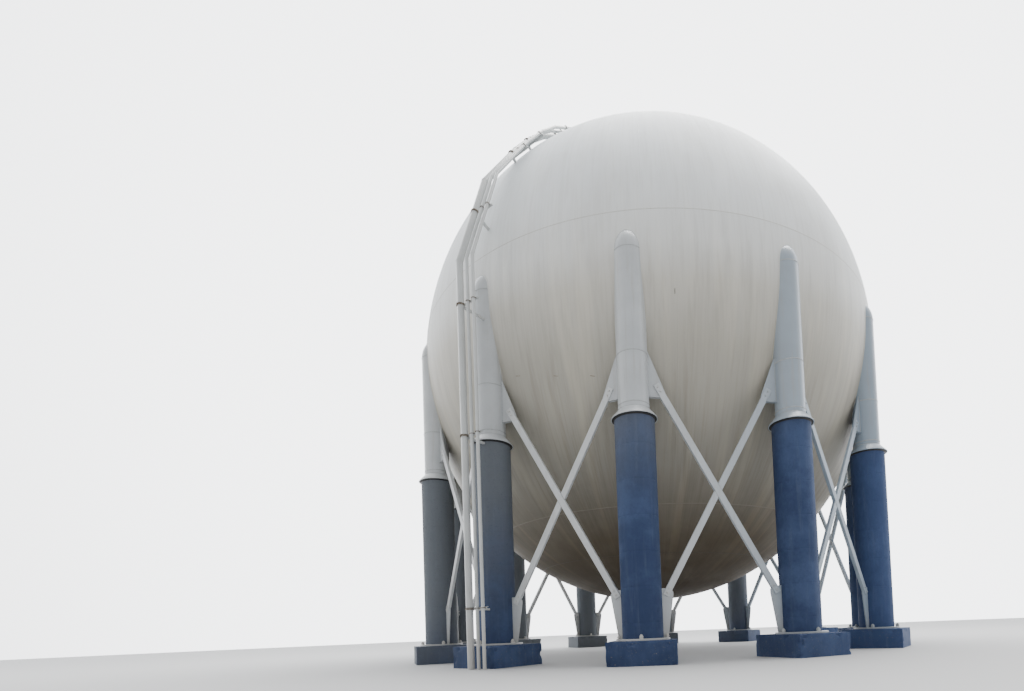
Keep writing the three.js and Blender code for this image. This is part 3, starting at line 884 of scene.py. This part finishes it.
def bar_matrix(side):
    """Places a bar's own length along its brace: z from its top end, x across and y outwards."""
    along = Vector((side * BRACE_WAY.x, 0, BRACE_WAY.y))
    across = Vector((0, 1, 0)).cross(along)
    made = Matrix((across, Vector((0, 1, 0)), along)).transposed().to_4x4()
    made.translation = Vector((side * (BRACE_TOP[0] - BAY_HALF), -BAY_OUT, BRACE_TOP[1]))
    return made


def brace_mesh():
    """Two crossed box sections in one bay that faces -Y. The second is a little thinner."""
    bm = bmesh.new()
    for side, depth in zip((1, -1), BRACE_DEPTHS):
        box(bm, (-BRACE_WIDTH / 2, -depth / 2, 0), (BRACE_WIDTH / 2, depth / 2, BRACE_RUN.length),
            bar_matrix(side))
    return bm


def brace_trim_mesh():
    """Welds along the four corners where the two bars cross."""
    bm = bmesh.new()
    cross = (BAY_HALF - BRACE_TOP[0]) / BRACE_RUN.x * BRACE_RUN.length
    between = 2 * math.atan2(BRACE_WAY.x, -BRACE_WAY.y)
    reach = BRACE_WIDTH / math.sin(between) / 2
    lean = BRACE_WIDTH / 2 / math.tan(between)
    place = bar_matrix(1)
    for side in (1, -1):
        for face in (1, -1):
            tube(bm, [place @ Vector((side * BRACE_WIDTH / 2, face * BRACE_DEPTHS[1] / 2,
                                      cross + side * lean + end * reach)) for end in (-1, 1)],
                 CROSS_WELD, WELD_SIDES)
    return bm


bars = piece("brace_01_bars", brace_mesh(), BRACE, ("cross_brace_01",), HALF_STEP,
             bevel=BRACE_EDGE)
welds = piece("brace_01_welds", brace_trim_mesh(), STEEL_WELD, turn=HALF_STEP)
for _, label, turn in COLUMNS[1:]:
    put(f"brace_{label}_bars", bars, (f"cross_brace_{label}",), turn + HALF_STEP,
        BRACE_EDGE)
    put(f"brace_{label}_welds", welds, turn=turn + HALF_STEP)


# Risers: each bend over the shell by latitude in degrees and by its distance from the shell.
RISER_BENDS = ((20.1, 0.35), (34.7, 0.15), (41.8, 0.155), (47.7, 0.165), (58, 0.155), (70, 0.15))
RISER_KNEE = CENTRE_Z + 0.165
RISER_CREST = CENTRE_Z + SHELL_RADIUS + 0.15
# How far from the ball's axis the main riser enters the crown, and each small one beyond it.
RISER_END = 0.9
SMALL_END_STEP = 0.19
END_SINK = 0.02
RISER_SIDES, SMALL_SIDES = 36, 20
BRACKET_HEIGHTS = (1.2, 4.66, 7.34)
BRACKET_LATITUDES = (12.4, 32.7, 40.3, 52, 64)
BRACKET_SIZE = 0.05
BRACKET_THICK = 0.008
BRACKET_OVERHANG = 0.035
ARM_START, ARM_STEP, ARM_STEPS, ARM_LIMIT = 0.03, 0.002, 400, 0.8
ARM_SINK = 0.006
ARM_DROP = 0.009


def riser_route(end):
    """(out, height) points of a riser in its own upright plane, floor to crown."""
    bends = [((SHELL_RADIUS + off) * math.cos(math.radians(lat)),
              CENTRE_Z + (SHELL_RADIUS + off) * math.sin(math.radians(lat)))
             for lat, off in RISER_BENDS]
    return [(RISER_STAND, 0), (RISER_STAND, RISER_KNEE), *bends, (end, RISER_CREST),
            (end, CENTRE_Z + math.sqrt(SHELL_RADIUS ** 2 - end ** 2) - END_SINK)]


def route_at(route, latitude):
    """Where a route crosses a latitude: out, height, and the direction of the pipe there."""
    angle = math.radians(latitude)
    ray = Vector((math.cos(angle), math.sin(angle)))
    for start, end in zip(route[1:], route[2:]):
        a = Vector((start[0], start[1] - CENTRE_Z))
        b = Vector((end[0], end[1] - CENTRE_Z))
        before = a.x * ray.y - a.y * ray.x
        after = b.x * ray.y - b.y * ray.x
        if before >= 0 >= after:
            spot = a.lerp(b, before / (before - after))
            return spot.x, spot.y + CENTRE_Z, (b - a).normalized()
    raise ValueError(f"the route doesn't cross latitude {latitude}")


def bracket_places():
    """Frames of the brackets: x along the row of pipes, y towards the ball, z along the pipes."""
    places = [Matrix.Translation((0, -RISER_STAND, height)) for height in BRACKET_HEIGHTS]
    route = riser_route(RISER_END)
    row = Vector((1, 0, 0))
    for latitude in BRACKET_LATITUDES:
        out, height, way = route_at(route, latitude)
        along = Vector((0, -way.x, way.y))
        made = Matrix((row, along.cross(row), along)).transposed().to_4x4()
        made.translation = (0, -out, height)
        places.append(made)
    return places


def reach_to_support(place):
    """How far a bracket's arm runs before it meets column 12, its casing or the ball."""
    column = Matrix.Rotation(-COLUMN_STEP - RISER_ANGLE, 3, "Z") @ Vector((0, -COLUMN_CIRCLE, 0))
    for i in range(1, ARM_STEPS):
        reach = ARM_START + i * ARM_STEP
        spot = place @ Vector((0, reach, 0))
        beside = math.hypot(spot.x - column.x, spot.y - column.y)
        in_ball = (spot - CENTRE).length < SHELL_RADIUS
        in_pipe = beside < PIPE_RADIUS and spot.z < CAP_RIM
        in_casing = beside < CASING_RADIUS and spot.z < CASING_TOP
        if in_ball or in_pipe or in_casing:
            return reach
    return ARM_LIMIT


def riser_points(route, x):
    return [Vector((x, -out, height)) for out, height in route]


def main_riser_mesh():
    """The main riser with its brackets: an angle behind the row of pipes, on an arm."""
    bm = bmesh.new()
    tube(bm, riser_points(riser_route(RISER_END), 0), RISER_RADIUS, RISER_SIDES)
    left = -RISER_RADIUS - BRACKET_OVERHANG
    right = SMALL_OFFSETS[1] + SMALL_RADIUS + BRACKET_OVERHANG
    near = SMALL_RADIUS + PIECE_GAP
    half = BRACKET_SIZE / 2
    for place in bracket_places():
        box(bm, (left, near, half - BRACKET_THICK), (right, near + BRACKET_SIZE, half), place)
        box(bm, (left, near, -half), (right, near + BRACKET_THICK, half), place)
        box(bm, (-half, near, -half), (half, reach_to_support(place) + ARM_SINK, half - ARM_DROP),
            place)
    return bm


CLIP_LEG = 0.03
CLIP_STEPS, CLIP_SIDES = 14, 8
# Each clip's pipe radius, rod radius, and its bows' places along the pipe.
MAIN_CLIP = (RISER_RADIUS, 0.009, (-0.012, 0.012))
SMALL_CLIP = (SMALL_RADIUS, 0.007, (0.0,))


def clip(bm, place, x, radius, rod, levels):
    """A clip round a pipe: one or two bows with their legs into the bracket."""
    bow = radius + rod
    turns = [math.pi * i / CLIP_STEPS for i in range(CLIP_STEPS + 1)]
    for level in levels:
        points = [(x - bow, CLIP_LEG), *((x - bow * math.cos(a), -bow * math.sin(a)) for a in turns),
                  (x + bow, CLIP_LEG)]
        tube(bm, [place @ Vector((*point, level)) for point in points], rod, CLIP_SIDES)


def riser_clips():
    """The clips that hold the three pipes on their brackets."""
    bm = bmesh.new()
    for place in bracket_places():
        clip(bm, place, 0, *MAIN_CLIP)
        for x in SMALL_OFFSETS:
            clip(bm, place, x, *SMALL_CLIP)
    return bm


# A mitre weld's half length and its radius, both in radii of the pipe.
ELBOW_HALF, ELBOW_REACH, ELBOW_SIDES = 0.09, 1.035, 28


def elbow_welds(bm, route, x, radius):
    """A bead on the mitre of each bend."""
    points = riser_points(route, x)
    for before, at, after in zip(points, points[1:], points[2:]):
        along = ((at - before).normalized() + (after - at).normalized()).normalized()
        tube(bm, [at - along * radius * ELBOW_HALF, at + along * radius * ELBOW_HALF],
             radius * ELBOW_REACH, ELBOW_SIDES)


def main_riser_welds():
    bm = bmesh.new()
    elbow_welds(bm, riser_route(RISER_END), 0, RISER_RADIUS)
    return bm


# Where each pad lies: its riser's x, its distance from the ball's axis, and its radius.
PADS = ((0, RISER_END, 0.17), (SMALL_OFFSETS[0], RISER_END + SMALL_END_STEP, 0.075),
        (SMALL_OFFSETS[1], RISER_END + 2 * SMALL_END_STEP, 0.075))
PAD_SINK = 0.004
PAD_SHOULDER = 0.010
PAD_HIGH = 0.013
PAD_EDGE = 0.006
PAD_MIDDLE = 0.02
PAD_SIDES = 32


def crown_pads():
    """Reinforcing pads where the risers enter the crown."""
    bm = bmesh.new()
    for x, end, radius in PADS:
        rings = []
        for r, lift in ((radius, -PAD_SINK), (radius, PAD_SHOULDER), (radius - PAD_EDGE, PAD_HIGH),
                        (PAD_MIDDLE, PAD_HIGH)):
            ring = []
            for px, py, _ in circle(r, PAD_SIDES):
                spot = Vector((x + px, -end + py, 0))
                spot.z = math.sqrt(SHELL_RADIUS ** 2 - spot.x ** 2 - spot.y ** 2)
                ring.append(CENTRE + spot.normalized() * (SHELL_RADIUS + lift))
            rings.append(ring)
        loops_to_mesh(bm, rings, True)
    return bm


piece("main_riser_pipe", main_riser_mesh(), PIPE, ("main_riser",), RISER_ANGLE,
      smooth=32.0)
piece("main_riser_welds", main_riser_welds(), PIPE, turn=RISER_ANGLE, smooth=50.0)
piece("riser_clips", riser_clips(), RUSTY, turn=RISER_ANGLE, smooth=50.0)
piece("crown_pads", crown_pads(), PIPE, turn=RISER_ANGLE, smooth=30.0)
for order, label in enumerate(("inner_small_riser", "outer_small_riser")):
    route = riser_route(RISER_END + SMALL_END_STEP * (order + 1))
    bm = bmesh.new()
    tube(bm, riser_points(route, SMALL_OFFSETS[order]), SMALL_RADIUS, SMALL_SIDES)
    elbow_welds(bm, route, SMALL_OFFSETS[order], SMALL_RADIUS)
    piece(f"{label}_pipe", bm, PIPE, (label,), RISER_ANGLE, smooth=40.0)


# The manway on the crown: a neck with a flange and a lid, bolted together.
NECK_RADIUS = 0.26
FLANGE_RADIUS = 0.37
MANWAY_TOP = CENTRE_Z + SHELL_RADIUS + 0.33
LID_TOP = MANWAY_TOP - 0.023
FLANGE_LOW = MANWAY_TOP - 0.095
FLANGE_THICK = 0.045
LID_GAP = 0.003
GASKET_DEPTH = 0.06
CHAMFER = 0.003
# The neck's fillet on the shell, and its hub under the flange.
FILLET, HUB = 0.018, 0.03
MANWAY_SIDES = 72
MANWAY_BOLT_COUNT = 20
MANWAY_BOLT_CIRCLE = 0.325
MANWAY_NUT = 0.0155


def manway_mesh():
    bm = bmesh.new()
    base = CENTRE_Z + math.sqrt(SHELL_RADIUS ** 2 - NECK_RADIUS ** 2)
    middle = FLANGE_LOW + FLANGE_THICK
    rim, gasket = FLANGE_RADIUS - CHAMFER, FLANGE_RADIUS - GASKET_DEPTH
    lathe(bm, [(NECK_RADIUS + FILLET, base - 0.012), (NECK_RADIUS + 0.012, base + 0.008),
               (NECK_RADIUS, base + FILLET), (NECK_RADIUS, FLANGE_LOW - HUB),
               (NECK_RADIUS + HUB, FLANGE_LOW), (rim, FLANGE_LOW),
               (FLANGE_RADIUS, FLANGE_LOW + CHAMFER), (FLANGE_RADIUS, middle - CHAMFER),
               (rim, middle), (gasket, middle), (gasket, middle + LID_GAP), (rim, middle + LID_GAP),
               (FLANGE_RADIUS, middle + LID_GAP + CHAMFER), (FLANGE_RADIUS, LID_TOP - CHAMFER),
               (rim, LID_TOP)], MANWAY_SIDES, capped=True)
    return bm


def manway_bolts():
    bm = bmesh.new()
    for x, y, _ in circle(MANWAY_BOLT_CIRCLE, MANWAY_BOLT_COUNT):
        bolt(bm, (x, y, LID_TOP), (0, 0, 1), MANWAY_NUT)
        bolt(bm, (x, y, FLANGE_LOW), (0, 0, -1), MANWAY_NUT)
    return bm


piece("crown_manway_flanges", manway_mesh(), PIPE, ("crown_manway",), smooth=30.0)
piece("crown_manway_bolts", manway_bolts(), BOLT, smooth=25.0)


FLOOR_RADIUS = 90.0
FLOOR_THICK = 0.2
FLOOR_SIDES = 96

floor = bpy.data.meshes.new("floor")
bm = bmesh.new()
lathe(bm, [(FLOOR_RADIUS, 0.0), (FLOOR_RADIUS, -FLOOR_THICK)], FLOOR_SIDES, capped=True)
bmesh.ops.recalc_face_normals(bm, faces=bm.faces)
bm.to_mesh(floor)
bm.free()
floor.materials.append(pale_floor())
ground = bpy.data.objects.new("floor", floor)
bpy.context.scene.collection.objects.link(ground)
ground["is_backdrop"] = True

# Each soft light: name, place, the point it faces, size, power and colour.
LIGHTS = (
    ("high_right", (5, 2, 31), (0, 0, 9), 20, 10800, (1.0, 0.985, 0.96)),
    ("side_fill", (-25, -13, 12), (0, 0, 6), 14, 400, (0.97, 0.98, 1.0)),
    ("right_rim", (26, 9, 9), (0, 0, 6), 10, 250, (1.0, 0.99, 0.97)),
)
for name, at, aim, size, power, colour in LIGHTS:
    data = bpy.data.lights.new(name, "AREA")
    data.shape = "DISK"
    data.size = size
    data.energy = power
    data.color = colour
    light = bpy.data.objects.new(name, data)
    light.location = at
    light.rotation_euler = (Vector(aim) - Vector(at)).to_track_quat("-Z", "Y").to_euler()
    bpy.context.scene.collection.objects.link(light)

# The sky is brightest behind the tank: y, plus a share of x and of z, sets its strength.
SKY_COLOUR = (0.965, 0.98, 1.0, 1)
SKY_SHARES = (("X", -0.03), ("Z", 0.4))
SKY_FROM, SKY_TO = -0.15, 0.98
SKY_DIM, SKY_BRIGHT = 0.92, 5.0

world = bpy.data.worlds.new("studio")
bpy.context.scene.world = world
world.use_nodes = True
tree = world.node_tree
sky = tree.nodes["Background"]
sky.inputs["Color"].default_value = SKY_COLOUR
way = tree.nodes.new("ShaderNodeTexCoord")
parts = tree.nodes.new("ShaderNodeSeparateXYZ")
glow = tree.nodes.new("ShaderNodeMapRange")
glow.interpolation_type = "SMOOTHSTEP"
for socket, value in zip(list(glow.inputs)[1:5], (SKY_FROM, SKY_TO, SKY_DIM, SKY_BRIGHT)):
    socket.default_value = value
tree.links.new(way.outputs["Generated"], parts.inputs[0])
level = parts.outputs["Y"]
for axis, share in SKY_SHARES:
    tilt = tree.nodes.new("ShaderNodeMath")
    tilt.operation = "MULTIPLY_ADD"
    tilt.inputs[1].default_value = share
    tree.links.new(parts.outputs[axis], tilt.inputs[0])
    tree.links.new(level, tilt.inputs[2])
    level = tilt.outputs[0]
tree.links.new(level, glow.inputs[0])
tree.links.new(glow.outputs[0], sky.inputs["Strength"])

# The photograph's frame, and the view worked out from the ball's outline and the columns' feet.
FRAME_WIDTH = 1024
FRAME_HEIGHT = 691
SENSOR = 36.0
FOCAL_PX = 522.64
CENTRE_PX = (633.93, 611.36)
CAMERA_PLAN_ANGLE = math.radians(2.408)
CAMERA_DISTANCE = 16.337
CAMERA_HEIGHT = 0.67
HEADING = math.radians(-4.82)
PITCH = math.radians(1.94)
ROLL = math.radians(2.301)
FAR_END = 400

lens = bpy.data.cameras.new("camera")
lens.sensor_width = SENSOR
lens.lens = FOCAL_PX / FRAME_WIDTH * SENSOR
lens.shift_x = (FRAME_WIDTH / 2 - CENTRE_PX[0]) / FRAME_WIDTH
lens.shift_y = (CENTRE_PX[1] - FRAME_HEIGHT / 2) / FRAME_WIDTH
lens.clip_end = FAR_END
camera = bpy.data.objects.new("camera", lens)
camera.location = (CAMERA_DISTANCE * math.sin(CAMERA_PLAN_ANGLE),
                   -CAMERA_DISTANCE * math.cos(CAMERA_PLAN_ANGLE), CAMERA_HEIGHT)
ahead = Vector((math.sin(HEADING), math.cos(HEADING), 0))
right = Vector((math.cos(HEADING), -math.sin(HEADING), 0))
upward = Vector((0, 0, 1))
tilted_up = math.cos(PITCH) * upward - math.sin(PITCH) * ahead
tilted_ahead = math.sin(PITCH) * upward + math.cos(PITCH) * ahead
rolled_right = math.cos(ROLL) * right - math.sin(ROLL) * tilted_up
rolled_up = math.sin(ROLL) * right + math.cos(ROLL) * tilted_up
camera.rotation_euler = Matrix((rolled_right, rolled_up, -tilted_ahead)).transposed().to_euler()
bpy.context.scene.collection.objects.link(camera)
bpy.context.scene.camera = camera

low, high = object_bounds()
